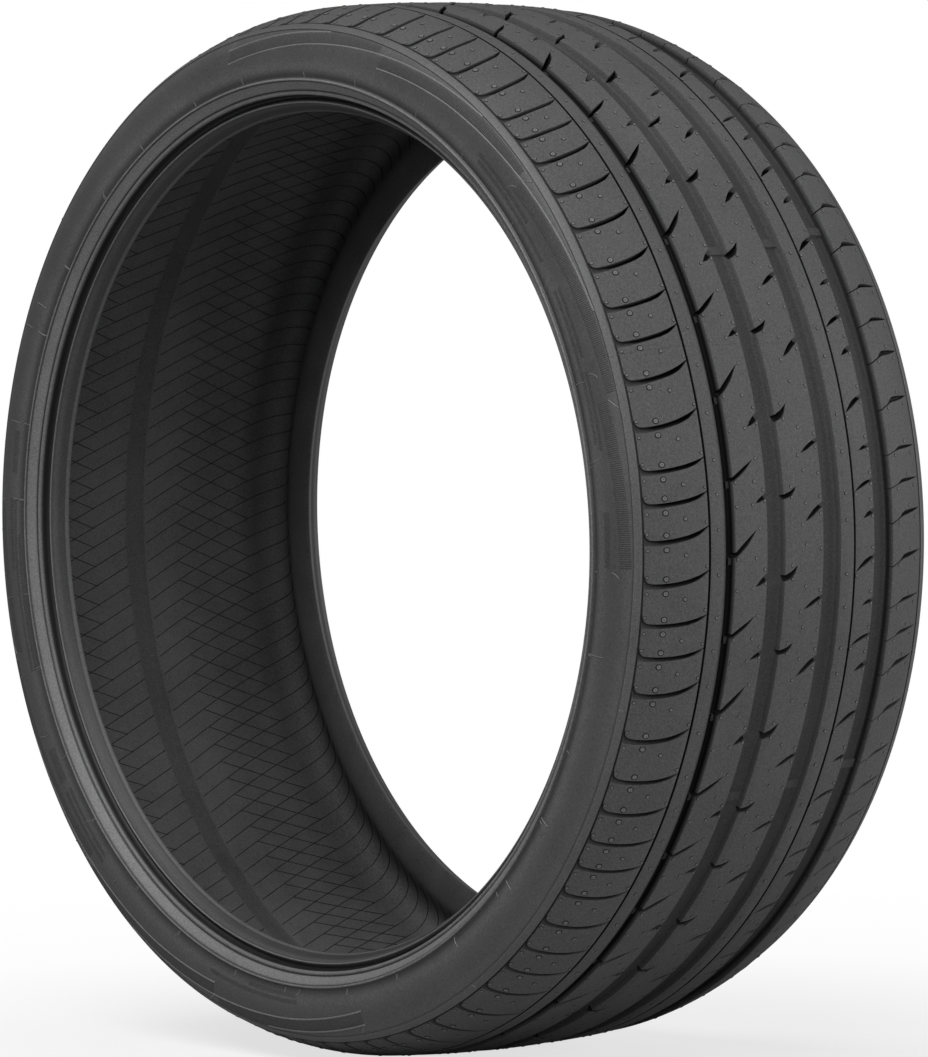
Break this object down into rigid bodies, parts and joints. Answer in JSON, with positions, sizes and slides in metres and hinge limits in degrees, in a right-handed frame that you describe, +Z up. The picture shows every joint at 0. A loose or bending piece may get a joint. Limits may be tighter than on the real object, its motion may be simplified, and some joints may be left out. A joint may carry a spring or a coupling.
{
  "type": "car tyre",
  "caption": "Low-profile car tyre with an asymmetric ribbed tread, slanted notches, long shoulder grooves and two beads that press onto a rim.",
  "frame": {"origin": "centre of the wheel, on the axle line and midway between the two sidewalls", "axes": "+Y along the axle towards the inner side of the tyre, +Z up, so that the tyre stands on its tread"},
  "size_m": [0.778, 0.287, 0.7778],
  "materials": {
    "tyre_rubber": "matt black vulcanised rubber with a slight sheen"
  },
  "bodies": {
    "root": {"tyre": "tyre_rubber"}
  },
  "joints": []
}
